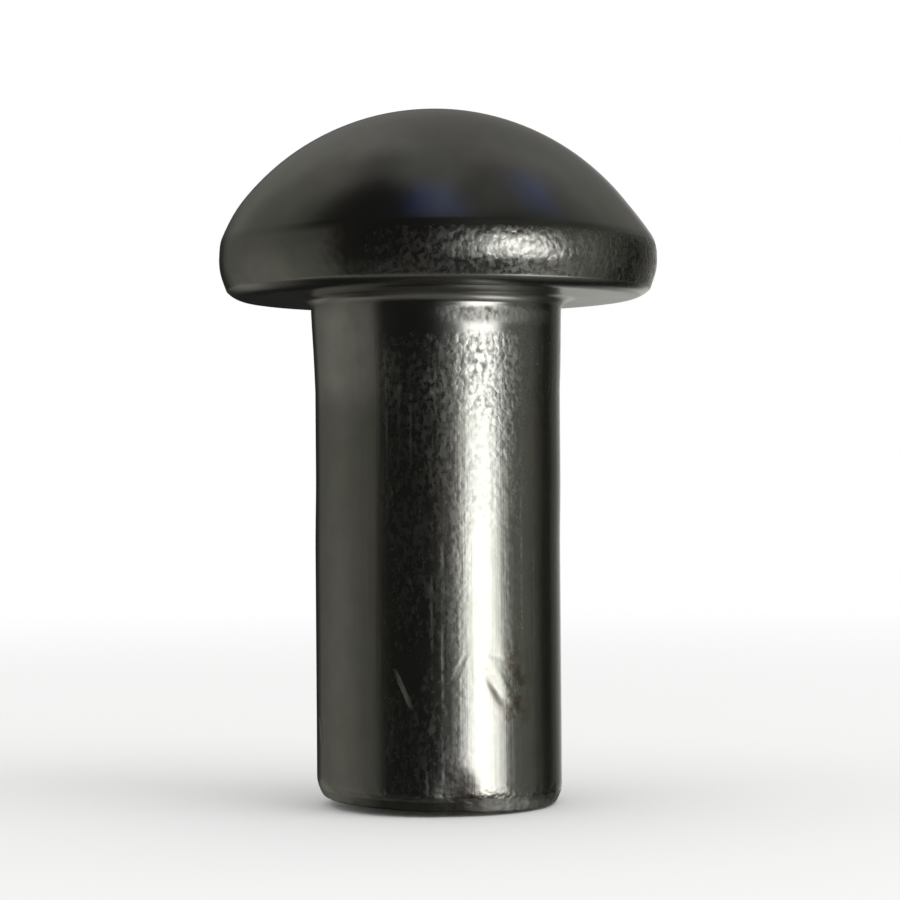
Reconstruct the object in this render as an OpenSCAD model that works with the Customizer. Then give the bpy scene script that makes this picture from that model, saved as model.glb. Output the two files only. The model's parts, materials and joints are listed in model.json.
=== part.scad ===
// Solid rivet with a round head, headed cold from one length of plain steel wire.
// It is one piece: a domed head, a slightly swollen neck and a straight shank with a cropped end.
// The origin is the centre of the bearing face under the head. The head is above it and the shank
// runs down from it. All sizes are in millimetres, and each outline below is half a section,
// drawn with x as the distance from the axis and y as the height.

/* [Shank] */
// Diameter of the straight part of the shank
shank_d = 6.35; // [5:0.05:8]
// Length under the head, from the bearing face to the cropped end
shank_l = 13.05; // [8:0.05:40]
// Width of the bevel round the cropped end, measured along the radius
bevel_w = 0.17; // [0.05:0.01:0.8]
// Height of the bevel, measured along the shank
bevel_h = 0.44; // [0.1:0.02:1.5]

/* [Neck] */
// Extra radius of the shank where it meets the head
neck_swell = 0.065; // [0.01:0.005:0.2]
// Distance below the bearing face at which the swell has died away
neck_l = 2.4; // [1.2:0.1:5]
// Radius of the fillet between the neck and the bearing face
neck_fillet_r = 0.3; // [0.1:0.05:0.8]

/* [Head] */
// Diameter of the head over its rim
head_d = 11.35; // [10:0.05:16]
// Height of the head above the bearing face
head_h = 4.93; // [3.2:0.01:6.5]
// Height of the rim band, from the bearing face to the edge of the dome
rim_h = 1.4; // [1:0.05:2.2]
// Radius of the round between the rim band and the bearing face
rim_corner_r = 0.73; // [0.2:0.01:0.9]

/* [Crease] */
// Height of the crease that the heading die leaves in that round
crease_h = 0.2; // [0.1:0.01:0.35]
// Depth of the crease
crease_depth = 0.04; // [0.02:0.01:0.1]

/* [Hidden] */

$fn = 128;
shank_r = shank_d / 2;
neck_r = shank_r + neck_swell;
rim_r = head_d / 2;

// The dome is a cap of a sphere through its top point and the edge of the rim band.
cap_h = head_h - rim_h;
dome_r = (rim_r * rim_r + cap_h * cap_h) / (2 * cap_h);

// The crease lies on the corner's arc, at its own height.
corner_centre = [rim_r - rim_corner_r, rim_corner_r];
crease_x = corner_centre.x + sqrt(pow(rim_corner_r, 2) - pow(rim_corner_r - crease_h, 2));

// The straight sides of the shank, from the cropped end up to the foot of the fillet.
module shank_outline() {
    polygon([
        [0, -shank_l],
        [shank_r - bevel_w, -shank_l],
        [shank_r, bevel_h - shank_l],
        [shank_r, -neck_l],
        [neck_r, -neck_fillet_r],
        [0, -neck_fillet_r],
    ]);
}

// The hollow round that runs from the neck out on to the bearing face.
module fillet_outline() {
    difference() {
        translate([0, -neck_fillet_r])
            square([neck_r + neck_fillet_r, neck_fillet_r + rim_corner_r]);
        translate([neck_r + neck_fillet_r, -neck_fillet_r])
            circle(r = neck_fillet_r);
    }
}

// The rim band with its rounded lower corner, as tall as the whole head.
module rim_outline() {
    square([corner_centre.x, head_h]);
    translate([0, rim_corner_r])
        square([rim_r, head_h - rim_corner_r]);
    translate(corner_centre)
        circle(r = rim_corner_r);
}

// The rim block cut to the dome, with the die's crease in its lower corner.
module head_outline() {
    difference() {
        intersection() {
            rim_outline();
            translate([0, head_h - dome_r])
                circle(r = dome_r);
        }
        translate([crease_x, crease_h])
            circle(r = crease_depth);
    }
}

module rivet() {
    color("#55534d")
        rotate_extrude() {
            shank_outline();
            fillet_outline();
            head_outline();
        }
}

rivet();
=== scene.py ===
"""Looks of a round-head solid rivet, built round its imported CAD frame.

The rivet is one cold-headed piece of steel. Its half-section is walked as lines and arcs, and a
Geometry Nodes lathe turns it, then presses in what the making and the handling left: the orange-peel
grain of the rim band, the drawing lines of the wire, the crop marks of the end and a few nicks.

The rivet's lengths are in millimetres until they reach Blender, which works in metres, and the
studio's are in metres. Heights count from the bearing face. The front is the side towards -y.
"""

from __future__ import annotations

import json
import logging
import math
from dataclasses import dataclass, fields
from enum import Enum
from typing import Any

import bmesh
import bpy
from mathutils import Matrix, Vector

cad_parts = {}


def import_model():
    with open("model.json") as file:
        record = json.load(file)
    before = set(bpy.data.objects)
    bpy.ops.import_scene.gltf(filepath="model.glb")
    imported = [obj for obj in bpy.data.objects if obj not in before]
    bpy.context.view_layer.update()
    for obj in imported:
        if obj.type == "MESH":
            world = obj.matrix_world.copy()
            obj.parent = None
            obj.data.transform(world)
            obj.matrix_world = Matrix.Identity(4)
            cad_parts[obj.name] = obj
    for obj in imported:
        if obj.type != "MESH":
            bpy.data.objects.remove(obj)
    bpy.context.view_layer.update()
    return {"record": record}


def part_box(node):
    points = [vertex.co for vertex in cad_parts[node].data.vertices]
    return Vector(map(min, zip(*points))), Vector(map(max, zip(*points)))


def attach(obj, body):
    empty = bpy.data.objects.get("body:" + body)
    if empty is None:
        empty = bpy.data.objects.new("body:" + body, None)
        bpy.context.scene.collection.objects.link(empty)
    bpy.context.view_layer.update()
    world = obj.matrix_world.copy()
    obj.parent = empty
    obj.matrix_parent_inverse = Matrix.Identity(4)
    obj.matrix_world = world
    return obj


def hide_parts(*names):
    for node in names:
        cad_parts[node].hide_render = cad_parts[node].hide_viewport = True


LOG = logging.getLogger("rivet")

MM = 0.001
NODE = "rivet"
BODY = "root"

Number = int | float
Point = tuple[float, float]
Triple = tuple[float, float, float]
Socket = bpy.types.NodeSocket
Settings = dict[str, Any]
Sockets = dict[str | int, Any]


# --- Node trees ---


class Value:
    """One number in a node tree. Arithmetic on it adds Math nodes."""

    def __init__(self, tree: Tree, socket: Socket) -> None:
        """Keeps the socket and the tree that holds it."""
        self.tree = tree
        self.socket = socket

    def _math(self, operation: str, *terms: Term) -> Value:
        """Adds one Math node for an operation on its values or links, in order."""
        return self.tree.value("ShaderNodeMath", {"operation": operation}, dict(enumerate(terms)))

    def __add__(self, other: Term) -> Value:
        """self + other."""
        return self._math("ADD", self, other)

    def __radd__(self, other: Number) -> Value:
        """other + self."""
        return self._math("ADD", other, self)

    def __sub__(self, other: Term) -> Value:
        """self - other."""
        return self._math("SUBTRACT", self, other)

    def __rsub__(self, other: Number) -> Value:
        """other - self."""
        return self._math("SUBTRACT", other, self)

    def __mul__(self, other: Term) -> Value:
        """self * other."""
        return self._math("MULTIPLY", self, other)

    def __rmul__(self, other: Number) -> Value:
        """other * self."""
        return self._math("MULTIPLY", other, self)

    def __truediv__(self, other: Term) -> Value:
        """self / other."""
        return self._math("DIVIDE", self, other)

    def __rtruediv__(self, other: Number) -> Value:
        """other / self."""
        return self._math("DIVIDE", other, self)

    def __pow__(self, other: Number) -> Value:
        """self ** other."""
        return self._math("POWER", self, other)

    def __neg__(self) -> Value:
        """-self."""
        return self._math("MULTIPLY", self, -1.0)

    def __abs__(self) -> Value:
        """abs(self)."""
        return self._math("ABSOLUTE", self)

    def root(self) -> Value:
        """The square root."""
        return self._math("SQRT", self)

    def angle_to(self, other: Term) -> Value:
        """The angle whose tangent is self over other, in radians."""
        return self._math("ARCTAN2", self, other)

    def sine(self) -> Value:
        """The sine of self in radians."""
        return self._math("SINE", self)

    def cosine(self) -> Value:
        """The cosine of self in radians."""
        return self._math("COSINE", self)

    def wrapped(self, low: Number, high: Number) -> Value:
        """self brought round into the range from low to high."""
        return self._math("WRAP", self, high, low)

    def at_least(self, other: Term) -> Value:
        """The larger of self and other."""
        return self._math("MAXIMUM", self, other)

    def at_most(self, other: Term) -> Value:
        """The smaller of self and other."""
        return self._math("MINIMUM", self, other)

    def held(self) -> Value:
        """self held between 0 and 1."""
        return self.at_least(0.0).at_most(1.0)

    def rise(self, low: Number, high: Number) -> Value:
        """A smooth step from 0 at low to 1 at high."""
        sockets = {"Value": self, "From Min": low, "From Max": high}
        return self.tree.value("ShaderNodeMapRange", {"interpolation_type": "SMOOTHSTEP"}, sockets)

    def fall(self, low: Number, high: Number) -> Value:
        """A smooth step from 1 at low to 0 at high."""
        return 1.0 - self.rise(low, high)

    def between(self, low: Number, high: Number, soft: Number) -> Value:
        """1 from low to high, with smooth ends that reach half as far as soft to either side."""
        half = soft / 2
        return self.rise(low - half, low + half) * self.fall(high - half, high + half)


Term = Value | Number


class Tree:
    """A shader or geometry node tree, filled from the script."""

    def __init__(self, nodes: bpy.types.NodeTree) -> None:
        """Wraps the tree."""
        self.tree = nodes

    @staticmethod
    def of(owner: bpy.types.Material | bpy.types.World) -> Tree:
        """Empties the shader tree of a material or world.

        Args:
            owner: The material or world.

        Returns:
            Its tree.
        """
        owner.use_nodes = True
        owner.node_tree.nodes.clear()
        return Tree(owner.node_tree)

    def node(
        self, kind: str, settings: Settings | None = None, sockets: Sockets | None = None
    ) -> bpy.types.Node:
        """Adds a node.

        Args:
            kind: The node's type.
            settings: Its properties, set before any socket.
            sockets: A value, Value or socket for each input, by name or by place.

        Returns:
            The node.
        """
        node = self.tree.nodes.new(kind)
        for name, setting in (settings or {}).items():
            setattr(node, name, setting)
        for key, given in (sockets or {}).items():
            self._feed(self._input(node, key), given)
        return node

    @staticmethod
    def _input(node: bpy.types.Node, key: str | int) -> Socket:
        """Finds an input of a node.

        Args:
            node: The node.
            key: The input's place, or its name among the inputs that the settings leave in use.

        Returns:
            The input.
        """
        if isinstance(key, int):
            return node.inputs[key]
        return next(s for s in node.inputs if s.name == key and s.enabled)

    def _feed(self, socket: Socket, given: Any) -> None:
        """Links or sets an input.

        Args:
            socket: The input.
            given: The Value or socket that it is linked to, or what it is set to.
        """
        if isinstance(given, Value):
            given = given.socket
        if isinstance(given, Socket):
            self.tree.links.new(given, socket)
        else:
            socket.default_value = given

    def value(
        self,
        kind: str,
        settings: Settings | None = None,
        sockets: Sockets | None = None,
        output: str | int = 0,
    ) -> Value:
        """Adds a node as node() does, and returns one of its outputs as a Value."""
        return Value(self, self.node(kind, settings, sockets).outputs[output])

    def noise(self, where: Socket, scale: Term, seed: Term, detail: Number = 2.0) -> Value:
        """Noise from -1 to 1.

        Args:
            where: The coordinates.
            scale: Cells to each unit of the coordinates.
            seed: Which noise.
            detail: How many finer layers it has.

        Returns:
            The noise.
        """
        sockets = {"Vector": where, "W": seed, "Scale": scale, "Detail": detail, "Roughness": 0.55}
        raw = self.value("ShaderNodeTexNoise", {"noise_dimensions": "4D"}, sockets)
        return raw * 2.0 - 1.0

    def bumps(self, where: Socket, scale: Term, seed: Term) -> Value:
        """A field of small round bumps, about 1 at their tops.

        Args:
            where: The coordinates.
            scale: Bumps to each unit of the coordinates.
            seed: Which field.

        Returns:
            The height of the bumps.
        """
        step = self.join(seed, 1.7 * seed, 2.9 * seed)
        moved = self.node("ShaderNodeVectorMath", {"operation": "ADD"}, {0: where, 1: step})
        sockets = {"Vector": moved.outputs[0], "Scale": scale, "Randomness": 1.0}
        away = self.value("ShaderNodeTexVoronoi", {"voronoi_dimensions": "3D", "feature": "F1"}, sockets)
        return 1.0 - away * away * 2.2

    def stretch(self, where: Socket, factors: Triple) -> Socket:
        """The coordinates with each axis multiplied by its own factor."""
        return self.node("ShaderNodeVectorMath", {"operation": "MULTIPLY"}, {0: where, 1: factors}).outputs[0]

    def split(self, where: Socket) -> tuple[Value, Value, Value]:
        """The x, y and z of a vector."""
        node = self.node("ShaderNodeSeparateXYZ", None, {0: where})
        return Value(self, node.outputs[0]), Value(self, node.outputs[1]), Value(self, node.outputs[2])

    def join(self, x: Term, y: Term, z: Term) -> Socket:
        """A vector from its x, y and z."""
        return self.node("ShaderNodeCombineXYZ", None, {0: x, 1: y, 2: z}).outputs[0]

    def blend(self, share: Term, first: Any, second: Any, mode: str = "MIX") -> Socket:
        """Mixes two colours.

        Args:
            share: How much of the second colour there is.
            first: The colour at share 0.
            second: The colour at share 1.
            mode: The Mix node's blend type.

        Returns:
            The mixed colour.
        """
        settings = {"data_type": "RGBA", "blend_type": mode}
        node = self.node("ShaderNodeMix", settings, {"Factor": share, "A": first, "B": second})
        return next(s for s in node.outputs if s.name == "Result" and s.enabled)


def rgba(colour: Triple) -> tuple[float, float, float, float]:
    """A colour with full alpha."""
    return (*colour, 1.0)


# --- The rivet's form ---


class Mark(Enum):
    """What a place on the surface carries. The value is the name of the mesh attribute.

    GRAIN is the rim band's orange peel and DRAWN the lines along the shank. RUBBED is the bright crease and
    fillet, PRESSED what the die touched under the head, CROPPED the sheared end, and NICKED the metal that a
    nick bares. The steel's colour also carries painted shade over PRESSED, CROPPED and most of GRAIN.
    """

    GRAIN = "grain"
    DRAWN = "drawn"
    RUBBED = "rubbed"
    PRESSED = "pressed"
    CROPPED = "cropped"
    NICKED = "nicked"


Marks = dict[Mark, float]


class Place:
    """A place as a node tree sees it, and what the tree knows there: its marks and the lathe's inputs."""

    def __init__(self, tree: Tree, position: Socket, unit: float = MM) -> None:
        """Splits a position.

        Args:
            tree: The tree to build in.
            position: The position in metres.
            unit: The unit of the place's own lengths, in metres.
        """
        self.tree = tree
        self.point = tree.stretch(position, (1 / unit,) * 3)
        self.x, self.y, self.z = tree.split(self.point)
        self.marks: dict[Mark, Value] = {}
        self.inputs: dict[str, Value] = {}

    def out(self) -> Value:
        """The distance from the axis."""
        return (self.x * self.x + self.y * self.y).root()

    def turn(self) -> Value:
        """The radians round the axis from the front, right positive."""
        return self.x.angle_to(-self.y)

    def front(self) -> Value:
        """1 on the front half and 0 on the back half."""
        return self.y.fall(-0.5, 0.5)

    def stretched(self, factors: Triple | None) -> Socket:
        """The point with each axis multiplied by its own factor."""
        return self.tree.stretch(self.point, factors) if factors else self.point

    def noise(self, scale: Term, seed: Term, detail: Number = 2.0, factors: Triple | None = None) -> Value:
        """Noise from -1 to 1.

        Args:
            scale: Cells to each millimetre.
            seed: Which noise.
            detail: How many finer layers it has.
            factors: What each axis is multiplied by first. Less than 1 draws the noise out.

        Returns:
            The noise.
        """
        return self.tree.noise(self.stretched(factors), scale, seed, detail)


class HalfSection:
    """Half a section of the rivet, walked from the top of the dome to the middle of the cropped end.

    A point is its distance from the axis and its height.
    """

    def __init__(self, start: Point) -> None:
        """Starts at a point."""
        self.points: list[Point] = [start]
        self.marks: list[Marks] = [{}]

    def line(self, end: Point, rows: int, marks: Marks | None = None) -> None:
        """Walks straight on in equal steps.

        Args:
            end: Where it ends.
            rows: How many steps it has.
            marks: What its surface carries.
        """
        x0, z0 = self.points[-1]
        for i in range(1, rows + 1):
            t = i / rows
            self.points.append((x0 + (end[0] - x0) * t, z0 + (end[1] - z0) * t))
            self.marks.append(marks or {})

    def arc(
        self, centre: Point, radius: float, start: float, end: float, rows: int, marks: Marks | None = None
    ) -> None:
        """Walks along an arc.

        Args:
            centre: The arc's centre.
            radius: Its radius.
            start: The angle it starts at, in radians up from the outward horizontal.
            end: The angle it ends at.
            rows: How many steps it has.
            marks: What its surface carries.
        """
        for i in range(1, rows + 1):
            a = start + (end - start) * i / rows
            self.points.append((centre[0] + radius * math.cos(a), centre[1] + radius * math.sin(a)))
            self.marks.append(marks or {})


@dataclass(frozen=True)
class RivetSizes:
    """The rivet's sizes, in millimetres. The first five come from the frame.

    A name that ends in r is a radius, and one that ends in h a height. Each lean is how far the surface
    has turned in from upright, in radians: at the foot of the rim band, at the foot of the crease, and
    where the cropped end's wide round runs into its tight one.
    """

    top: float
    bottom: float
    head_r: float
    shank_r: float
    wall: tuple[float, float]
    neck_swell: float = 0.075
    fillet_r: float = 0.3
    dome_edge_r: float = 0.8
    rim_h: float = 1.34
    belly_h: float = 1.0
    belly_upper_r: float = 2.6
    belly_lower_r: float = 1.5
    lean: float = math.radians(20.0)
    lean_end_h: float = 0.25
    crease_r: float = 0.09
    corner_lean: float = math.radians(45.0)
    end_wide_r: float = 1.0
    end_lean: float = math.radians(30.0)
    end_tight_r: float = 0.11
    smooth_neck: float = 0.9

    @staticmethod
    def from_frame(record: dict[str, Any]) -> RivetSizes:
        """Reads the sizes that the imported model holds.

        Args:
            record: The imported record.

        Returns:
            The sizes.
        """
        low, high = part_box(NODE)
        shank = next(m for m in record["mounts"] if m["name"] == "shank")
        middle, half = shank["pos_m"][2] / MM, shank["dims"]["length_mm"] / 2
        return RivetSizes(
            top=high.z / MM,
            bottom=low.z / MM,
            head_r=high.x / MM,
            shank_r=shank["dims"]["r_mm"],
            wall=(middle + half, middle - half),
        )


@dataclass(frozen=True)
class Nick:
    """A groove in the shank, from one place to another.

    Places are degrees round the shank from the front, right positive, and height. The width is to either
    side of the middle. The lip is what is pushed up beside it, as a share of the depth. Ragged is how
    much of it its gaps take away and shine how bright its bared metal is, both from 0 to 1.
    """

    start: Point
    end: Point
    width: float
    depth: float
    lip: float = 0.3
    ragged: float = 0.0
    shine: float = 1.0


NICKS = (
    # The soft dent in the front, right of the middle, and the short mark above it.
    Nick((22.5, -9.5), (30.6, -10.2), width=0.20, depth=0.017, lip=0.2, shine=0.0),
    Nick((23.0, -9.0), (29.0, -9.08), width=0.16, depth=0.010, lip=0.0, shine=0.0),
    # The long bright scratch left of the middle.
    Nick((-19.8, -9.42), (-12.0, -10.34), width=0.08, depth=0.026, lip=0.0, shine=1.0),
    # Two short scratches that lean the other way.
    Nick((13.5, -8.95), (6.2, -9.6), width=0.065, depth=0.004, shine=0.3),
    Nick((11.6, -9.25), (8.0, -9.6), width=0.05, depth=0.003, shine=0.3),
    # A small pale pit between the scratches.
    Nick((-6.9, -9.8), (-6.8, -9.86), width=0.09, depth=0.005, lip=0.0, shine=0.4),
    # Score lines that the drawing die left along the shank.
    Nick((2.6, -5.9), (2.6, -7.95), width=0.065, depth=0.006, lip=0.0, ragged=1.0, shine=0.5),
    Nick((2.4, -8.3), (2.5, -10.3), width=0.065, depth=0.007, lip=0.0, ragged=0.9, shine=0.5),
    Nick((-2.4, -6.9), (-2.6, -9.6), width=0.06, depth=0.005, lip=0.0, ragged=1.0, shine=0.4),
    Nick((-24.0, -1.9), (-23.8, -4.6), width=0.05, depth=0.005, lip=0.0, ragged=0.8, shine=0.3),
    Nick((-11.5, -2.4), (-11.7, -4.4), width=0.05, depth=0.008, lip=0.0, ragged=0.9, shine=0.4),
    Nick((-17.0, -2.0), (-17.2, -5.0), width=0.05, depth=0.005, lip=0.0, ragged=1.0, shine=0.3),
    Nick((2.4, -11.4), (2.6, -12.3), width=0.06, depth=0.007, lip=0.0, ragged=0.8, shine=0.4),
    Nick((-5.2, -11.9), (-5.0, -12.5), width=0.06, depth=0.006, lip=0.0, ragged=0.5, shine=0.4),
    Nick((41.0, -4.4), (41.2, -8.6), width=0.05, depth=0.007, lip=0.0, ragged=1.0, shine=0.3),
    Nick((49.0, -6.0), (49.3, -9.4), width=0.05, depth=0.007, lip=0.0, ragged=1.0, shine=0.3),
    # Faint scratches across the front.
    Nick((-27.0, -6.35), (-1.5, -6.5), width=0.045, depth=0.006, ragged=0.8, shine=0.3),
    Nick((-15.0, -2.3), (0.5, -2.35), width=0.04, depth=0.006, ragged=0.7, shine=0.3),
    # Nicks on the sides and the back.
    Nick((112.0, -5.2), (120.0, -6.1), width=0.12, depth=0.020),
    Nick((-141.0, -8.0), (-149.0, -8.6), width=0.11, depth=0.018),
    Nick((171.0, -3.6), (177.0, -4.9), width=0.10, depth=0.014),
    Nick((-74.0, -10.8), (-70.0, -11.5), width=0.08, depth=0.014),
)


@dataclass(frozen=True)
class Surface:
    """How deep and how fine the marks pressed into the form are, in millimetres.

    Each field is a named input of the lathe. Crowding is how much closer its columns stand at the front,
    from 0 to 1. The crop slant is for each millimetre across the end. Shifts and bow are to the right.
    """

    segments: int = 432
    crowding: float = 0.35
    seed: float = 3.0
    grain_size: float = 0.15
    grain_depth: float = 0.0025
    line_pitch: float = 0.22
    line_depth: float = 0.003
    dome_wave: float = 0.006
    crop_depth: float = 0.03
    crop_slant: float = 0.036
    flat_depth: float = 0.07
    rim_shift: float = 0.07
    dome_shift: float = -0.05
    shank_bow: float = 0.025
    rim_unround: float = 0.02


@dataclass(frozen=True)
class Rivet:
    """The rivet: a lathed body with its surface pressed in.

    The fine rows are between two heights, where most nicks are. The middle of the flattened spot is given
    as how far it is right of the front and above the end, and then half its width and half its height.
    """

    sizes: RivetSizes
    surface: Surface
    fine_rows: tuple[float, float] = (-9.0, -10.8)
    flat_at: Point = (0.4, 0.4)
    flat_half: Point = (0.85, 0.9)

    # The radius of the lathe's own circle, the distance within which the points of a pole or seam merge,
    # and what is added to a distance from the axis before anything is divided by it.
    RING = 3.0
    MERGE = 0.0002
    NEAR_AXIS = 0.1

    def half_section(self) -> HalfSection:
        """Walks the half-section with the row spacing that each form needs.

        Returns:
            The half-section.
        """
        walk = HalfSection((0.0, self.sizes.top))
        self._walk_head(walk)
        self._walk_neck(walk)
        self._walk_shank(walk)
        return walk

    def _walk_head(self, walk: HalfSection) -> None:
        """Walks the dome, the rim band, the crease and the corner under it.

        Args:
            walk: The half-section so far, at the top of the dome.
        """
        s = self.sizes
        grain, pressed = {Mark.GRAIN: 1.0}, {Mark.PRESSED: 1.0}

        # The rim band bulges to its belly and leans in below it, down to the crease.
        upper = (s.head_r - s.belly_upper_r, s.belly_h)
        lower = (s.head_r - s.belly_lower_r, s.belly_h)
        band_top = math.asin((s.rim_h - s.belly_h) / s.belly_upper_r)
        lean_z = s.belly_h - s.belly_lower_r * math.sin(s.lean)
        lean_x = lower[0] + s.belly_lower_r * math.cos(s.lean)
        crease_x = lean_x - (lean_z - s.lean_end_h) * math.tan(s.lean)
        crease = (crease_x - s.crease_r * math.cos(s.lean), s.lean_end_h + s.crease_r * math.sin(s.lean))

        # Below the crease a round corner runs into the flat bearing face.
        corner_top = crease[1] - s.crease_r * math.sin(s.corner_lean)
        corner_r = corner_top / (1 - math.sin(s.corner_lean))
        corner = (crease[0] - (corner_r - s.crease_r) * math.cos(s.corner_lean), corner_r)
        touched = -1.4 * s.corner_lean

        # The dome is the one sphere that has the top point and touches the round on its edge.
        inner = s.belly_upper_r - s.dome_edge_r
        edge = (upper[0] + inner * math.cos(band_top), upper[1] + inner * math.sin(band_top))
        drop = s.top - edge[1]
        dome_r = (edge[0] ** 2 + drop**2 - s.dome_edge_r**2) / (2 * (drop - s.dome_edge_r))
        dome = (0.0, s.top - dome_r)
        dome_end = math.asin((edge[1] - dome[1]) / (dome_r - s.dome_edge_r))
        grain_start = (dome_end + 2 * band_top) / 3

        walk.arc(dome, dome_r, math.pi / 2, dome_end, 32)
        walk.arc(edge, s.dome_edge_r, dome_end, grain_start, 6)
        walk.arc(edge, s.dome_edge_r, grain_start, band_top, 3, {Mark.GRAIN: 0.7})
        walk.arc(upper, s.belly_upper_r, band_top, 0.0, 8, grain)
        walk.arc(lower, s.belly_lower_r, 0.0, -s.lean, 10, grain)
        walk.line((crease_x, s.lean_end_h), 5, grain)
        walk.arc(crease, s.crease_r, -s.lean, -s.corner_lean, 4, {Mark.RUBBED: 0.6})
        walk.arc(corner, corner_r, -s.corner_lean, touched, 4, {Mark.PRESSED: 0.3})
        walk.arc(corner, corner_r, touched, -math.pi / 2, 5, pressed)

    def _walk_neck(self, walk: HalfSection) -> None:
        """Walks the bearing face, the fillet with its die line, and the neck.

        Args:
            walk: The half-section so far, at the outside of the bearing face.
        """
        s = self.sizes
        rubbed = {Mark.RUBBED: 0.6}
        fillet = (s.shank_r + s.neck_swell + s.fillet_r, -s.fillet_r)
        line_above, line_below = math.pi * 0.88, math.pi * 0.92
        swell_left = (s.wall[0] + s.smooth_neck) / (s.wall[0] + s.fillet_r)
        walk.line((fillet[0] + 0.1, 0.0), 5, {Mark.PRESSED: 1.0})
        walk.line((fillet[0], 0.0), 1, rubbed)
        walk.arc(fillet, s.fillet_r, math.pi / 2, line_above, 8, rubbed)
        walk.arc(fillet, s.fillet_r, line_below, math.pi, 3)
        walk.line((s.shank_r + s.neck_swell * swell_left, -s.smooth_neck), 6)

    def _walk_shank(self, walk: HalfSection) -> None:
        """Walks the drawn wall and the cropped end, to the axis.

        Args:
            walk: The half-section so far, on the neck.
        """
        s = self.sizes
        drawn, cropped = {Mark.DRAWN: 1.0}, {Mark.CROPPED: 1.0}
        turned = {Mark.DRAWN: 0.5, Mark.CROPPED: 0.5}
        tighter = s.end_wide_r - s.end_tight_r
        wide = (s.shank_r - s.end_wide_r, s.bottom + s.end_tight_r + tighter * math.sin(s.end_lean))
        tight = (wide[0] + tighter * math.cos(s.end_lean), s.bottom + s.end_tight_r)
        turned_from, turned_to = -0.3 * s.end_lean, -0.55 * s.end_lean
        walk.line((s.shank_r, s.wall[0]), 8, drawn)
        walk.line((s.shank_r, self.fine_rows[0]), 32, drawn)
        walk.line((s.shank_r, self.fine_rows[1]), 48, drawn)
        walk.line((s.shank_r, wide[1]), 12, drawn)
        walk.arc(wide, s.end_wide_r, 0.0, turned_from, 4, drawn)
        walk.arc(wide, s.end_wide_r, turned_from, turned_to, 3, turned)
        walk.arc(wide, s.end_wide_r, turned_to, -s.end_lean, 5, cropped)
        walk.arc(tight, s.end_tight_r, -s.end_lean, -math.pi / 2, 4, cropped)
        walk.line((0.0, s.bottom), 14, cropped)

    def outline_object(self) -> bpy.types.Object:
        """Makes the half-section as a chain of edges in the lathe's own plane.

        Returns:
            The object that carries the lathe.
        """
        walk = self.half_section()
        mesh = bpy.data.meshes.new("rivet_body")
        points = [((x - self.RING) * MM, -z * MM, 0.0) for x, z in walk.points]
        chain = [(i, i + 1) for i in range(len(points) - 1)]
        mesh.from_pydata(points, chain, [])
        for mark in (m for m in Mark if m is not Mark.NICKED):
            layer = mesh.attributes.new(mark.value, "FLOAT", "POINT")
            layer.data.foreach_set("value", [marks.get(mark, 0.0) for marks in walk.marks])
        body = bpy.data.objects.new("rivet_body", mesh)
        bpy.context.scene.collection.objects.link(body)
        return body

    def lathe(self, steel: bpy.types.Material) -> bpy.types.NodeTree:
        """Builds the lathe.

        Args:
            steel: The material that the body gets.

        Returns:
            The node tree, with a named input for each size.
        """
        group = bpy.data.node_groups.new("rivet_lathe", "GeometryNodeTree")
        face = group.interface
        face.new_socket(name="Half section", in_out="INPUT", socket_type="NodeSocketGeometry")
        face.new_socket(name="Body", in_out="OUTPUT", socket_type="NodeSocketGeometry")
        for field in fields(self.surface):
            size = getattr(self.surface, field.name)
            kind = "NodeSocketInt" if isinstance(size, int) else "NodeSocketFloat"
            name = field.name.replace("_", " ").capitalize()
            face.new_socket(name=name, in_out="INPUT", socket_type=kind).default_value = size
        metal = face.new_socket(name="Steel", in_out="INPUT", socket_type="NodeSocketMaterial")
        metal.default_value = steel

        tree = Tree(group)
        given = tree.node("NodeGroupInput").outputs
        inputs = {s.name: Value(tree, s) for s in given if s.type in ("VALUE", "INT")}
        turned = self._turn_round_axis(tree, given["Half section"], inputs)
        shaped = self._press_surface(tree, turned, inputs)
        real = tree.node("GeometryNodeRealizeInstances", None, {"Geometry": shaped}).outputs[0]
        sockets = {"Geometry": real, "Material": given["Steel"]}
        painted = tree.node("GeometryNodeSetMaterial", None, sockets).outputs[0]
        tree.node("NodeGroupOutput", None, {"Body": painted})
        return group

    def _turn_round_axis(self, tree: Tree, outline: Socket, inputs: dict[str, Value]) -> Socket:
        """Sweeps the half-section round the axis, closes both poles and crowds the columns to the front.

        Args:
            tree: The tree to build in.
            outline: The chain of edges.
            inputs: The group's number inputs by name.

        Returns:
            The closed body.
        """
        chain = tree.node("GeometryNodeMeshToCurve", None, {"Mesh": outline}).outputs[0]
        sockets = {"Resolution": inputs["Segments"], "Radius": self.RING * MM}
        ring = tree.node("GeometryNodeCurvePrimitiveCircle", {"mode": "RADIUS"}, sockets).outputs[0]
        sockets = {"Curve": ring, "Profile Curve": chain}
        swept = tree.node("GeometryNodeCurveToMesh", None, sockets).outputs[0]
        sockets = {"Geometry": swept, "Distance": self.MERGE * MM}
        merged = tree.node("GeometryNodeMergeByDistance", None, sockets).outputs[0]
        at = Place(tree, tree.node("GeometryNodeInputPosition").outputs[0], unit=1.0)
        out, turn = at.out(), at.turn()
        turn = turn - inputs["Crowding"] * turn.sine()
        moved = tree.join(out * turn.sine(), -(out * turn.cosine()), at.z)
        return tree.node("GeometryNodeSetPosition", None, {"Geometry": merged, "Position": moved}).outputs[0]

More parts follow.
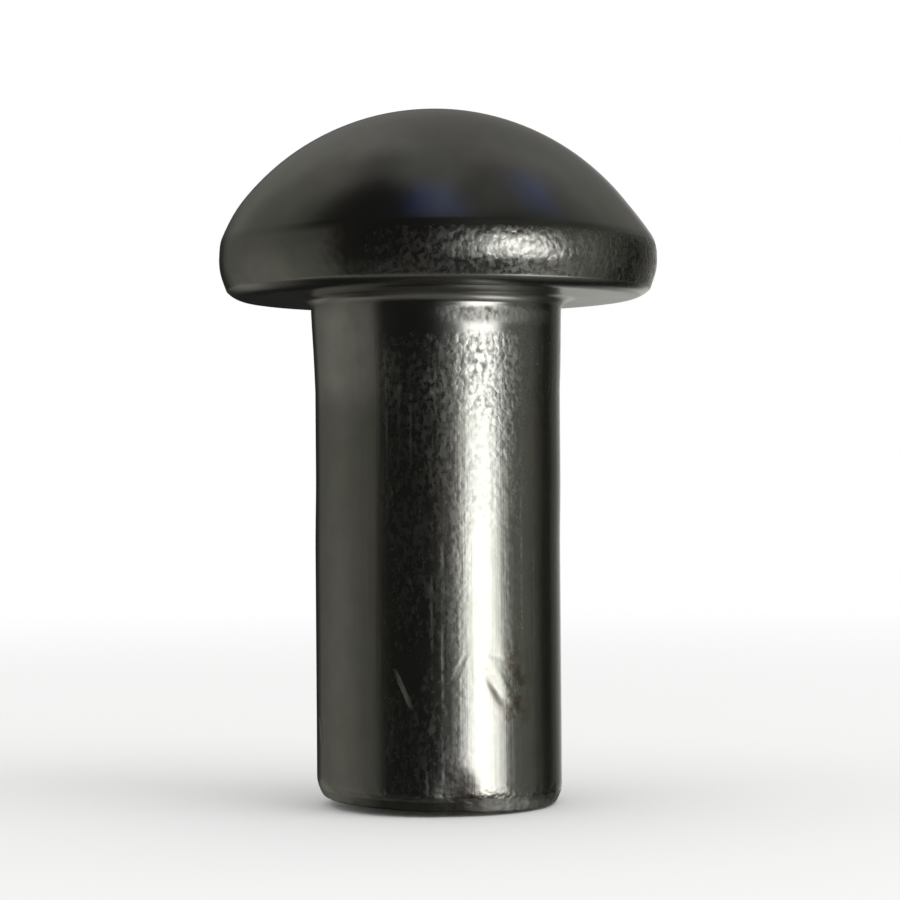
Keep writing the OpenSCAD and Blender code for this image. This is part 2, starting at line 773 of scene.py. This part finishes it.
    def _press_surface(self, tree: Tree, body: Socket, inputs: dict[str, Value]) -> Socket:
        """Presses the marks of making and wear into the body.

        Args:
            tree: The tree to build in.
            body: The lathed body.
            inputs: The group's number inputs by name.

        Returns:
            The shaped body, with the nicks' mask stored on it.
        """
        at = Place(tree, tree.node("GeometryNodeInputPosition").outputs[0])
        at.inputs = inputs
        for mark in (Mark.GRAIN, Mark.DRAWN, Mark.CROPPED):
            sockets = {"Name": mark.value}
            at.marks[mark] = tree.value("GeometryNodeInputNamedAttribute", {"data_type": "FLOAT"}, sockets)
        on_shank = at.z.fall(-self.sizes.fillet_r - 0.1, -self.sizes.fillet_r + 0.1)
        cut, nicked = self._nicks(at)
        height = self._raised(at) - cut * on_shank - self._flat(at) * on_shank
        crop, slant = self._sheared(at)
        rim_x, rim_y = self._unround(at)
        nx, ny, nz = tree.split(tree.node("GeometryNodeInputNormal").outputs[0])
        shift = tree.join(
            (nx * height + self._sideways(at) + rim_x) * MM,
            (ny * height + rim_y) * MM,
            (nz * height + crop + slant) * MM,
        )
        pressed = tree.node("GeometryNodeSetPosition", None, {"Geometry": body, "Offset": shift}).outputs[0]
        sockets = {"Geometry": pressed, "Name": Mark.NICKED.value, "Value": nicked * on_shank}
        on_points = {"data_type": "FLOAT", "domain": "POINT"}
        return tree.node("GeometryNodeStoreNamedAttribute", on_points, sockets).outputs[0]

    def _nicks(self, at: Place) -> tuple[Value, Value]:
        """Adds up the nicks.

        Args:
            at: The place.

        Returns:
            The depth of metal taken away, in millimetres, and how bright the bared metal is.
        """
        depth: Term = 0.0
        shine: Term = 0.0
        across = at.turn() * self.sizes.shank_r
        unrolled = at.tree.join(across, 0.0, at.z)
        gaps = at.tree.noise(unrolled, 5.0, at.inputs["Seed"] + 41.0).rise(-0.1, 0.25)
        for nick in NICKS:
            u0, u1 = (math.radians(end[0]) * self.sizes.shank_r for end in (nick.start, nick.end))
            z0, z1 = nick.start[1], nick.end[1]
            du, dz = u1 - u0, z1 - z0
            u, v = across - u0, at.z - z0
            along = ((u * du + v * dz) / (du * du + dz * dz)).held()
            away = ((u - along * du) ** 2 + (v - along * dz) ** 2).root()
            # A nick is deepest half way along, and its lip is just outside it.
            taper = 1.0 - 0.55 * (along * 2.0 - 1.0) ** 2
            cut = away.fall(0.0, nick.width) * taper * (1.0 - nick.ragged * gaps)
            lip = away.between(nick.width * 1.05, nick.width * 1.7, nick.width * 0.7) * taper
            depth = cut * nick.depth - lip * (nick.depth * nick.lip) + depth
            shine = cut * nick.shine + shine
        return depth, shine.held()

    def _raised(self, at: Place) -> Value:
        """How far the rim band's grain, the drawing lines and the dome's waves stand out.

        Args:
            at: The place.

        Returns:
            The height in millimetres.
        """
        seed = at.inputs["Seed"]
        lumps = at.tree.bumps(at.point, 1.0 / at.inputs["Grain size"], seed)
        waves = at.noise(0.4 / at.inputs["Grain size"], seed + 7.0, 1.0)
        grain = at.marks[Mark.GRAIN] * at.inputs["Grain depth"] * (lumps + waves)
        lines = at.noise(1.0 / at.inputs["Line pitch"], seed + 11.0, factors=(1.0, 1.0, 0.03))
        patches = at.noise(0.9, seed + 13.0)
        drawn = at.marks[Mark.DRAWN] * at.inputs["Line depth"] * (lines + patches * 0.4)
        dome = at.z.rise(self.sizes.rim_h, self.sizes.rim_h + 0.4)
        return grain + drawn + dome * at.inputs["Dome wave"] * at.noise(0.5, seed + 17.0, 1.0)

    def _flat(self, at: Place) -> Value:
        """The depth of the flattened spot on the front of the cropped end's edge.

        Args:
            at: The place.

        Returns:
            The depth in millimetres.
        """
        over = (at.turn() * self.sizes.shank_r - self.flat_at[0]) / self.flat_half[0]
        up = (at.z - self.sizes.bottom - self.flat_at[1]) / self.flat_half[1]
        return (over * over + up * up).root().fall(0.0, 1.0) * at.inputs["Flat depth"]

    def _sheared(self, at: Place) -> tuple[Value, Value]:
        """The marks that cropping leaves on the end.

        Args:
            at: The place.

        Returns:
            How high the shear marks and the tear reach, and how high the slant lifts the end.
        """
        seed, end = at.inputs["Seed"], self.sizes.bottom
        shear = at.noise(1.0, seed + 23.0, 3.0, (0.5, 3.2, 1.0))
        tear = (at.y + 1.2 + 0.5 * at.noise(0.5, seed + 29.0, 1.0)).rise(-0.2, 0.5)
        crop = at.marks[Mark.CROPPED] * at.inputs["Crop depth"] * (shear * 0.35 + tear * 0.5 + 0.4).held()
        slant = at.z.fall(end + 0.7, end + 2.0) * at.inputs["Crop slant"] * (self.sizes.shank_r - at.x)
        return crop, slant

    def _sideways(self, at: Place) -> Value:
        """How far the rim, the dome and the bowed shank sit to the right of the axis.

        Args:
            at: The place.

        Returns:
            The distance in millimetres.
        """
        rim = at.z.rise(-0.35, 0.2)
        dome = at.z.rise(self.sizes.belly_h + 0.15, self.sizes.rim_h + 1.2)
        sideways = at.inputs["Rim shift"] * rim + at.inputs["Shank bow"] * at.z.between(-5.5, -1.0, 2.0)
        return sideways + (at.inputs["Dome shift"] - at.inputs["Rim shift"]) * dome

    def _unround(self, at: Place) -> tuple[Value, Value]:
        """How far the rim stands out of round.

        Args:
            at: The place.

        Returns:
            The distance along x and along y, in millimetres.
        """
        away = at.out() + self.NEAR_AXIS
        lobes = at.tree.noise(at.tree.join(at.x / away, at.y / away, 0.0), 0.8, at.inputs["Seed"] + 31.0, 0.0)
        rim = at.z.between(-0.1, self.sizes.rim_h + 0.6, 0.8) * at.inputs["Rim unround"] * lobes
        return rim * at.x / away, rim * at.y / away

    def build(self, steel: bpy.types.Material) -> bpy.types.Object:
        """Makes the body as a plain mesh.

        Args:
            steel: The material that it gets.

        Returns:
            The rivet's visual piece.
        """
        body = self.outline_object()
        turning = body.modifiers.new("lathe", "NODES")
        turning.node_group = self.lathe(steel)
        for item in turning.node_group.interface.items_tree:
            if item.in_out == "INPUT" and item.socket_type != "NodeSocketGeometry":
                turning[item.identifier] = item.default_value
        graph = bpy.context.evaluated_depsgraph_get()
        seen = body.evaluated_get(graph)
        mesh = bpy.data.meshes.new_from_object(seen, preserve_all_data_layers=True, depsgraph=graph)
        body.modifiers.clear()
        old, body.data = body.data, mesh
        bpy.data.meshes.remove(old)
        mesh.name = "rivet_body"
        self._close(mesh)
        return body

    @staticmethod
    def _close(mesh: bpy.types.Mesh) -> None:
        """Turns every face outwards and shades it smooth.

        Args:
            mesh: The body's mesh.
        """
        work = bmesh.new()
        work.from_mesh(mesh)
        bmesh.ops.recalc_face_normals(work, faces=work.faces[:])
        for face in work.faces:
            face.smooth = True
        work.to_mesh(mesh)
        work.free()


# --- The steel ---


@dataclass(frozen=True)
class SteelFinish:
    """Plain uncoated steel, drawn on the shank and left free on the rim band.

    The end and the neck's end are heights. The other colours lie over the grey, and what roughens lies
    over the roughness. The worn side is in degrees right of the front. The depths are those of the relief
    that is too fine for the mesh, in millimetres.
    """

    end: float
    neck_end: float
    grey: Triple = (0.330, 0.325, 0.308)
    brown: Triple = (0.315, 0.284, 0.258)
    olive: Triple = (0.298, 0.306, 0.272)
    # The dull grey stands for matt wear, and also for painted shade.
    dull: Triple = (0.18, 0.18, 0.165)
    fresh: Triple = (0.50, 0.49, 0.46)
    stain: Triple = (0.15, 0.10, 0.08)
    # A near black for the painted shade on the front of the cropped end.
    grime: Triple = (0.06, 0.06, 0.05)
    roughness: float = 0.20
    worn_side: float = 62.0
    line_depth: float = 0.0015
    hair_depth: float = 0.0004
    wave_depth: float = 0.0008
    grit_depth: float = 0.0052
    lump_depth: float = 0.0032
    torn_depth: float = 0.034
    seed: float = 5.0

    def material(self) -> bpy.types.Material:
        """Builds the material.

        Returns:
            The material, which reads Object coordinates and the body's marks.
        """
        steel = bpy.data.materials.new("steel")
        tree = Tree.of(steel)
        at = Place(tree, tree.node("ShaderNodeTexCoord").outputs["Object"])
        for mark in Mark:
            at.marks[mark] = tree.value("ShaderNodeAttribute", {"attribute_name": mark.value}, None, "Fac")
        worn = self._worn(at)
        matt = worn * self._specks(at)
        sockets = {"Strength": 1.0, "Distance": MM, "Height": self._relief(at, worn)}
        bump = tree.node("ShaderNodeBump", None, sockets)
        sockets = {
            "Base Color": self._colour(at, matt),
            "Metallic": 1.0,
            "Roughness": self._roughness(at, matt),
            "Normal": bump.outputs[0],
        }
        shader = tree.node("ShaderNodeBsdfPrincipled", None, sockets)
        tree.node("ShaderNodeOutputMaterial", None, {"Surface": shader.outputs[0]})
        return steel

    def _worn(self, at: Place) -> Value:
        """How matt and pitted the surface is: on one side, and most of all near the head.

        Args:
            at: The place.

        Returns:
            The wear, from 0 to about 1.
        """
        x, y, z = at.x, at.y, at.z
        side = math.radians(self.worn_side)
        facing = (x * math.sin(side) - y * math.cos(side)) / at.out().at_least(0.5)
        rim = 0.1 + 0.78 * facing.rise(0.05, 0.45)
        sheared = x.rise(0.4, 1.2) * at.front()

        # The shank is worn in patches. It is polished again in a stripe right of the front, towards the end.
        patches = at.noise(1.0, self.seed + 3.0, factors=(1.0, 1.0, 0.4)).rise(-0.4, 0.3)
        near_head = 0.45 + 0.2 * z.rise(-9.0, -3.0) + 0.55 * z.between(-3.0, self.neck_end, 1.2)
        polished = x.between(0.75, 1.7, 0.5) * z.fall(-7.0, -4.0) * at.front()
        shank = facing.rise(0.0, 0.14) * near_head * (0.4 + 0.6 * patches)
        shank = shank * (1.0 - 0.75 * polished) * (1.0 - 0.7 * x.rise(1.9, 2.6))

        worn = at.marks[Mark.DRAWN] * shank + at.marks[Mark.GRAIN] * rim + at.marks[Mark.CROPPED] * sheared
        return worn + self._scuffed(at)

    def _scuffed(self, at: Place) -> Value:
        """Where the neck is scuffed, right of the front, with a ragged lower edge.

        Args:
            at: The place.

        Returns:
            The scuff's mask.
        """
        ragged = at.noise(1.6, self.seed + 15.0, factors=(1.0, 1.0, 0.0)) * 0.14
        band = at.z.fall(-0.45, -0.3) * (at.z - self.neck_end + ragged).rise(0.0, 0.35)
        return band * at.x.rise(-0.3, 0.7) * at.x.fall(2.2, 3.2)

    def _specks(self, at: Place) -> Value:
        """Fine specks, a tenth of a millimetre across, and short strokes along the shank.

        Args:
            at: The place.

        Returns:
            Their mask.
        """
        specks = at.noise(8.0, self.seed + 14.0, 1.5, (1.0, 1.0, 0.8)).rise(-0.3, 0.6)
        strokes = at.noise(10.0, self.seed + 16.0, 1.0, (1.0, 1.0, 0.3)).rise(-0.1, 0.6)
        return specks + strokes * at.z.fall(self.neck_end - 0.6, self.neck_end) * at.x.fall(0.4, 1.2)

    def _relief(self, at: Place, worn: Value) -> Value:
        """The relief that is too fine for the mesh.

        Args:
            at: The place.
            worn: How worn it is.

        Returns:
            The height in millimetres.
        """
        lines = at.noise(8.0, self.seed, 3.0, (1.0, 1.0, 0.02))
        hair = at.noise(24.0, self.seed + 1.0, 1.0, (1.0, 1.0, 0.012))
        drawn = lines * self.line_depth + hair * self.hair_depth
        grit = at.noise(6.0, self.seed + 2.0, 1.0, (1.0, 1.0, 0.9))
        lumps = at.tree.bumps(at.stretched((1.0, 1.0, 0.9)), 6.5, self.seed + 4.0)
        pitted = grit * self.grit_depth + lumps * self.lump_depth
        waves = at.noise(3.5, self.seed + 6.0, 3.0) * self.wave_depth
        near_end = at.z.fall(self.end + 0.3, self.end + 0.9)
        torn = near_end * at.noise(2.2, self.seed + 19.0, factors=(1.0, 1.0, 1.5))
        fine = at.marks[Mark.DRAWN] * drawn + worn.at_most(1.0) * pitted
        return fine + waves + torn * self.torn_depth

    def _colour(self, at: Place, matt: Value) -> Socket:
        """The steel's colour, laid over the grey in layers.

        Args:
            at: The place.
            matt: How much of the worn parts' specks is there.

        Returns:
            The colour.
        """
        x, z, marks = at.x, at.z, at.marks
        clouds = at.noise(0.28, self.seed + 8.0).rise(-0.3, 0.5)
        bands = at.noise(0.7, self.seed + 9.0, factors=(1.0, 1.0, 0.25)).rise(-0.05, 0.65)
        neck = z.between(-2.6, -0.2, 1.2) * z.fall(-0.3, -0.2) * x.fall(-1.7, -0.7)
        blotches = at.noise(1.6, self.seed + 18.0).rise(-0.3, 0.5)
        # Painted shade: the corner and bearing face under the head, the cropped end, and the rim band from
        # its middle to the right are darkened towards the dull grey. The specks and blotches that share that
        # grey are wear and tone.
        shaded = marks[Mark.PRESSED] * 0.6 + marks[Mark.CROPPED] * 0.2
        shaded = shaded + marks[Mark.GRAIN] * x.rise(-2.5, -0.5) * 0.2
        # Painted shade on the front of the cropped end, down by the floor.
        painted_end_shade = marks[Mark.CROPPED] * x.between(-1.9, 0.8, 1.2) * at.front()
        spots = at.noise(3.5, self.seed + 12.0, 3.0).rise(-0.25, 0.25)
        stained = spots * z.between(-10.8, -9.0, 0.8) * x.between(1.65, 2.2, 0.4) * at.front()
        layers = (
            (clouds, self.olive),
            (bands, self.brown),
            (neck, self.fresh),
            ((matt * 0.25 + blotches * 0.22 + shaded).at_most(1.0), self.dull),
            (painted_end_shade * 0.9, self.grime),
            (stained * 0.85, self.stain),
            (marks[Mark.RUBBED] * x.rise(-3.0, -2.0) * 0.6, self.fresh),
            (marks[Mark.NICKED] * 0.8, self.fresh),
        )
        colour: Any = rgba(self.grey)
        for share, paint in layers:
            colour = at.tree.blend(share, colour, rgba(paint))
        return colour

    def _roughness(self, at: Place, matt: Value) -> Value:
        """The steel's roughness: smoothest on the dome, roughest in the specks of the worn parts.

        Args:
            at: The place.
            matt: How much of the worn parts' specks is there.

        Returns:
            The roughness.
        """
        clouds = at.noise(1.1, self.seed + 10.0, 3.0)
        pressed = at.marks[Mark.PRESSED] * 0.09 + at.marks[Mark.CROPPED] * 0.2
        rubbed = at.marks[Mark.RUBBED] * 0.16 + self._scuffed(at) * 0.22 + at.marks[Mark.NICKED] * 0.3
        return self.roughness + clouds * 0.025 + matt * 0.32 + pressed + rubbed


# --- The studio ---


@dataclass(frozen=True)
class Panel:
    """One soft box or flag round the rivet, as the metal sees it.

    Angles are in degrees: turn is round from the front, right positive, and tilt is up from level. The
    three soft edges are those at the sides, at the foot and at the top.
    """

    name: str
    turn: tuple[float, float]
    tilt: tuple[float, float]
    level: float
    soft: Triple
    tint: Triple = (1.0, 1.0, 1.0)


def ivory(blue: float) -> Triple:
    """White with some blue taken out."""
    return (1.0, 1.0, blue)


def cream(blue: float) -> Triple:
    """Ivory with a little green taken out."""
    return (1.0, 0.985, blue)


def leaf(blue: float) -> Triple:
    """Ivory with a little red taken out."""
    return (0.97, 1.0, blue)


PANELS = (
    Panel("all round", (-181, 181), (-95, 95), level=0.020, tint=ivory(0.92), soft=(1, 1, 1)),
    Panel("table", (-96, 140), (-95, -38), level=0.12, tint=ivory(0.94), soft=(24, 1, 14)),
    Panel("left wall", (-148, -57), (-46, 22), level=0.135, tint=cream(0.89), soft=(14, 10, 44)),
    Panel("left wall's middle", (-124, -84), (-46, 4), level=0.12, tint=cream(0.89), soft=(36, 10, 50)),
    Panel("left wall's head", (-162, -91), (24, 66), level=0.178, tint=cream(0.91), soft=(40, 44, 16)),
    Panel("low on the left", (-158, -132), (-34, -12), level=0.22, tint=cream(0.89), soft=(12, 12, 12)),
    Panel("window", (26, 56), (-16.5, 9.9), level=4.2, soft=(17, 12, 12)),
    Panel("window's low right side", (56, 65), (-18, -4), level=1.5, soft=(8, 12, 6)),
    Panel("window's left edge", (6, 30), (-20, 12), level=0.16, soft=(18, 14, 14)),
    Panel("window's foot", (52, 94), (-62, -42), level=1.9, soft=(24, 14, 14)),
    Panel("over the window", (10, 84), (20, 54), level=0.042, tint=ivory(0.94), soft=(46, 16, 10)),
    Panel("right of the window", (56, 104), (-40, 24), level=0.19, tint=leaf(0.88), soft=(34, 20, 30)),
    Panel("right wall", (150, 178), (-16, 12), level=0.30, tint=ivory(0.95), soft=(6, 10, 20)),
    Panel("right wall's far end", (162, 178.5), (-26, 12), level=0.5, tint=ivory(0.95), soft=(3, 16, 20)),
    Panel("right wall's edge", (134, 152), (-16, 12), level=0.12, tint=ivory(0.92), soft=(16, 10, 20)),
    Panel("back", (116, 212), (14, 78), level=0.19, tint=cream(0.94), soft=(60, 20, 16)),
    Panel("behind the right", (76, 150), (34, 70), level=0.06, tint=leaf(0.98), soft=(40, 30, 30)),
    Panel("ceiling", (-181, 181), (78, 95), level=0.158, tint=ivory(0.95), soft=(1, 16, 1)),
    Panel("front of the ceiling", (-8, 100), (60, 78), level=0.08, tint=ivory(0.95), soft=(40, 12, 16)),
    Panel("left of the ceiling", (-170, -90), (66, 78), level=0.08, tint=cream(0.92), soft=(30, 16, 16)),
    Panel("first cool lamp", (-26, 27), (63, 81), level=0.100, tint=(0.25, 0.5, 1.6), soft=(22, 12, 12)),
    Panel("second cool lamp", (90, 116), (55, 62), level=0.16, tint=(0.25, 0.45, 1.7), soft=(20, 12, 12)),
)


@dataclass(frozen=True)
class Studio:
    """The pale floor, the soft lamps, the surround that the metal mirrors, and the camera.

    Lengths are in metres but for the lens, and angles are in degrees. The fill is how strongly the white
    surround lights things, next to how the camera sees it. The camera tilts up from straight down.
    """

    floor_z: float
    floor_r: float = 0.11
    paper: Triple = (0.86, 0.86, 0.855)
    surround_r: float = 0.40
    fill: float = 0.9
    aim: Triple = (0.0, 0.0, -0.005)
    camera_at: Triple = (0.00033, -0.06674, -0.00468)
    camera_tilt: float = 90.67
    camera_roll: float = 0.45
    lens: float = 102.7

    def build(self) -> None:
        """Makes everything in the studio."""
        self.world()
        self.floor()
        self.surround()
        self.lamps()
        self.camera()
        bpy.context.scene.view_settings.view_transform = "Standard"

    def world(self) -> None:
        """A white surround for what the camera and mirror rays see, and a softer fill for the rest."""
        world = bpy.data.worlds.new("studio")
        tree = Tree.of(world)
        path = tree.node("ShaderNodeLightPath").outputs
        seen = Value(tree, path["Is Camera Ray"])
        for ray in ("Is Glossy Ray", "Is Transmission Ray"):
            seen = seen.at_least(Value(tree, path[ray]))
        sockets = {"Color": rgba((1.0, 1.0, 1.0)), "Strength": self.fill + seen * (1.0 - self.fill)}
        light = tree.node("ShaderNodeBackground", None, sockets)
        tree.node("ShaderNodeOutputWorld", None, {"Surface": light.outputs[0]})
        bpy.context.scene.world = world

    def floor(self) -> None:
        """A round pale floor that fades into the white behind it, and that no mirror ray sees."""
        work = bmesh.new()
        bmesh.ops.create_circle(work, cap_ends=True, cap_tris=False, segments=96, radius=self.floor_r)
        bmesh.ops.translate(work, verts=work.verts[:], vec=Vector((0.0, 0.0, self.floor_z)))
        paint = bpy.data.materials.new("floor_paper")
        tree = Tree.of(paint)
        at = Place(tree, tree.node("ShaderNodeTexCoord").outputs["Object"], unit=1.0)
        gone = (at.out() / self.floor_r).rise(0.2, 0.95)
        paper = tree.node("ShaderNodeBsdfDiffuse", None, {"Color": rgba(self.paper)}).outputs[0]
        clear = tree.node("ShaderNodeBsdfTransparent").outputs[0]
        faded = tree.node("ShaderNodeMixShader", None, {0: gone, 1: paper, 2: clear})
        tree.node("ShaderNodeOutputMaterial", None, {"Surface": faded.outputs[0]})
        self._stage("floor", work, paint).visible_glossy = False

    def surround(self) -> None:
        """A tent round the rivet that only mirror rays see: dark in front, with one bright window."""
        work = bmesh.new()
        bmesh.ops.create_uvsphere(work, u_segments=96, v_segments=48, radius=self.surround_r)
        paint = bpy.data.materials.new("surround_panels")
        tree = Tree.of(paint)
        at = Place(tree, tree.node("ShaderNodeTexCoord").outputs["Object"], unit=1.0)
        turn = at.turn() * math.degrees(1.0)
        tilt = at.z.angle_to(at.out()) * math.degrees(1.0)
        colour: Any = rgba((0.0, 0.0, 0.0))
        for panel in PANELS:
            light = rgba(tuple(part * panel.level for part in panel.tint))
            colour = tree.blend(self._mask(turn, tilt, panel), colour, light, "ADD")
            colour.node.label = panel.name
        glow = tree.node("ShaderNodeEmission", None, {"Color": colour, "Strength": 1.0})
        tree.node("ShaderNodeOutputMaterial", None, {"Surface": glow.outputs[0]})
        paint.cycles.emission_sampling = "NONE"
        tent = self._stage("surround", work, paint)
        tent.visible_camera = False
        tent.visible_diffuse = False
        tent.visible_shadow = False

    @staticmethod
    def _mask(turn: Value, tilt: Value, panel: Panel) -> Value:
        """Where a panel is.

        Args:
            turn: Degrees round from the front.
            tilt: Degrees up from level.
            panel: The panel.

        Returns:
            1 inside it and 0 outside, with its own soft edges.
        """
        side, foot, top = (soft / 2 for soft in panel.soft)
        middle, half = sum(panel.turn) / 2, (panel.turn[1] - panel.turn[0]) / 2
        low, high = panel.tilt
        across = abs((turn - middle).wrapped(-180.0, 180.0)).fall(half - side, half + side)
        return across * (tilt.rise(low - foot, low + foot) * tilt.fall(high - top, high + top))

    def lamps(self) -> None:
        """Two soft boxes that light the floor and cast the rivet's soft shadow."""
        self._lamp("key", place=(0.09, -0.05, 0.10), side=0.10, power=0.055)
        self._lamp("fill", place=(-0.10, -0.04, 0.09), side=0.12, power=0.015)

    def _lamp(self, name: str, place: Triple, side: float, power: float) -> None:
        """Adds one square soft box aimed at the rivet's middle.

        Args:
            name: The lamp's name.
            place: Where it is, in metres.
            side: Its side, in metres.
            power: Its power, in watts.
        """
        data = bpy.data.lights.new(name, "AREA")
        data.shape = "SQUARE"
        data.size = side
        data.energy = power
        lamp = bpy.data.objects.new(name, data)
        lamp.location = place
        lamp.rotation_euler = (Vector(self.aim) - Vector(place)).to_track_quat("-Z", "Y").to_euler()
        lamp.visible_camera = False
        lamp.visible_glossy = False
        bpy.context.scene.collection.objects.link(lamp)

    def camera(self) -> None:
        """A nearly level camera close to the rivet, a little below the head's bearing face."""
        data = bpy.data.cameras.new("camera")
        data.sensor_width = 36.0
        data.lens = self.lens
        data.clip_start = 0.001
        data.clip_end = 10.0
        camera = bpy.data.objects.new("camera", data)
        camera.location = self.camera_at
        camera.rotation_euler = (math.radians(self.camera_tilt), math.radians(self.camera_roll), 0.0)
        bpy.context.scene.collection.objects.link(camera)
        bpy.context.scene.camera = camera

    @staticmethod
    def _stage(name: str, work: bmesh.types.BMesh, paint: bpy.types.Material) -> bpy.types.Object:
        """Makes an object that isn't part of the rivet.

        Args:
            name: Its name.
            work: Its shape, which is freed.
            paint: Its material.

        Returns:
            The object.
        """
        mesh = bpy.data.meshes.new(name)
        work.to_mesh(mesh)
        work.free()
        mesh.materials.append(paint)
        thing = bpy.data.objects.new(name, mesh)
        bpy.context.scene.collection.objects.link(thing)
        return thing


def main() -> None:
    """Builds the rivet and its studio round the frame."""
    logging.basicConfig(level=logging.INFO, format="%(name)s: %(message)s")
    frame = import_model()
    sizes = RivetSizes.from_frame(frame["record"])
    Studio(floor_z=sizes.bottom * MM).build()

    steel = SteelFinish(end=sizes.bottom, neck_end=-sizes.smooth_neck).material()
    body = Rivet(sizes, Surface()).build(steel)
    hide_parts(NODE)
    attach(body, BODY)
    LOG.info("%s: %d faces, stands for %s", body.name, len(body.data.polygons), NODE)


if __name__ == "__main__":
    main()
